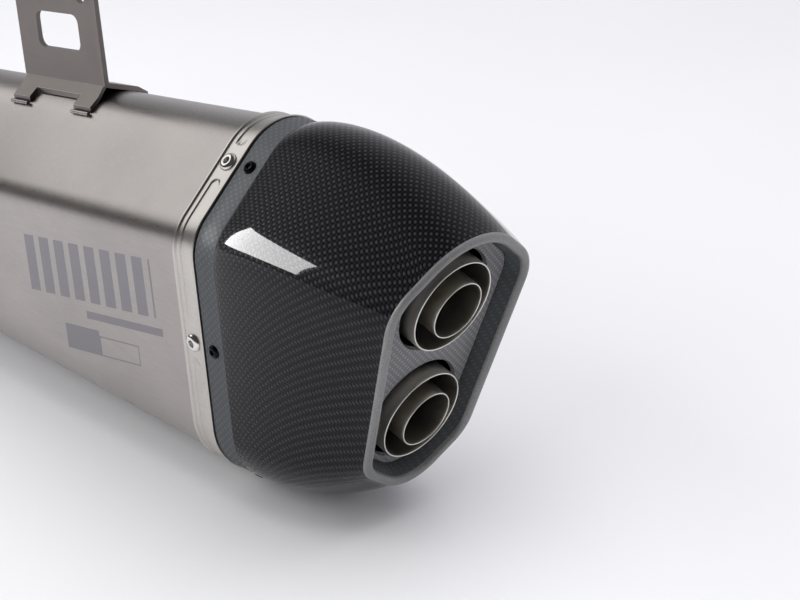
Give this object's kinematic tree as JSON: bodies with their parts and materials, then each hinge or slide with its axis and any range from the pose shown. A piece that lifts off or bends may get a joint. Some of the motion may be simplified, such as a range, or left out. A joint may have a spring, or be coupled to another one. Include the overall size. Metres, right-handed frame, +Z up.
{
  "type": "motorcycle exhaust silencer",
  "caption": "Slip-on silencer: tapered six-sided titanium sleeve, riveted rim bands, carbon end cap with two stacked outlets, slotted inlet with a clamp.",
  "frame": {"origin": "centre of the inlet pipe's mouth", "axes": "+X along the inlet pipe's axis with the gas, towards the outlets; +Z up, towards the bracket; Y = 0 is the middle plane"},
  "size_m": [0.5495, 0.126, 0.2381],
  "materials": {
    "titanium_sheet": "satin titanium sheet, fine lengthwise grain",
    "titanium_cap": "satin titanium, pressed and welded",
    "stainless_trim": "polished stainless trim",
    "bright_rivets": "bright stainless rivets",
    "black_rivets": "black anodised rivets",
    "stainless_tube": "drawn stainless tube",
    "weld_metal": "heat-tinted weld bead",
    "clamp_steel": "plain stainless",
    "inner_steel": "mill-finish stainless sheet",
    "steel_wool": "stainless wool",
    "glass_wool": "long-fibre glass wool",
    "outlet_tube": "polished tube, lightly heat tinted",
    "carbon_gloss": "plain-weave carbon laminate under gloss lacquer",
    "carbon_plate": "plain-weave carbon plate under satin lacquer",
    "bracket_sheet": "folded titanium sheet, satin"
  },
  "bodies": {
    "silencer": {"outer_sleeve": "titanium_sheet", "sleeve_seam": "weld_metal", "front_rim_band": "stainless_trim", "rear_rim_band": "stainless_trim", "front_rivets": "bright_rivets", "rear_rivets": "bright_rivets", "cap_rivets": "black_rivets", "front_cap": "titanium_cap", "inlet_pipe": "stainless_tube", "inlet_weld": "weld_metal", "front_baffle": "inner_steel", "mid_baffle": "inner_steel", "rear_bulkhead": "inner_steel", "upper_core_tube": "inner_steel", "lower_core_tube": "inner_steel", "upper_core_wrap": "steel_wool", "lower_core_wrap": "steel_wool", "front_packing": "glass_wool", "rear_packing": "glass_wool", "elbow_welds": "weld_metal", "upper_outlet_tube": "outlet_tube", "lower_outlet_tube": "outlet_tube", "end_cap": "carbon_gloss", "outlet_plate": "carbon_plate", "mounting_bracket": "bracket_sheet", "bracket_welds": "weld_metal"},
    "upper_noise_insert": {"upper_insert": "outlet_tube", "upper_snap_ring": "clamp_steel"},
    "lower_noise_insert": {"lower_insert": "outlet_tube", "lower_snap_ring": "clamp_steel"},
    "clamp": {"clamp_band": "clamp_steel", "clamp_bolt": "clamp_steel", "clamp_trunnion": "clamp_steel"},
    "clamp_washer_body": {"clamp_washer": "clamp_steel"},
    "clamp_nut_body": {"clamp_nut": "clamp_steel"}
  },
  "joints": [
    {"name": "upper_insert_slide", "type": "slide", "parent": "silencer", "child": "upper_noise_insert", "axis": [0.9542, 0, -0.299], "range_m": [0, 0.06]},
    {"name": "lower_insert_slide", "type": "slide", "parent": "silencer", "child": "lower_noise_insert", "axis": [0.9542, 0, -0.299], "range_m": [0, 0.06]},
    {"name": "clamp_swivel", "type": "hinge", "parent": "silencer", "child": "clamp", "pos_m": [0.014, 0, 0], "axis": [1, 0, 0], "continuous": true},
    {"name": "nut_travel", "type": "slide", "parent": "clamp", "child": "clamp_washer_body", "axis": [0, 1, 0], "range_m": [0, 0.008]},
    {"name": "nut_turn", "type": "hinge", "parent": "clamp_washer_body", "child": "clamp_nut_body", "pos_m": [0.014, 0, -0.04018], "axis": [0, 1, 0], "range_deg": [0, 2900]}
  ],
  "couplings": [
    {"joint": "nut_turn", "follows": "nut_travel", "rad_per_m": 6283.2}
  ]
}
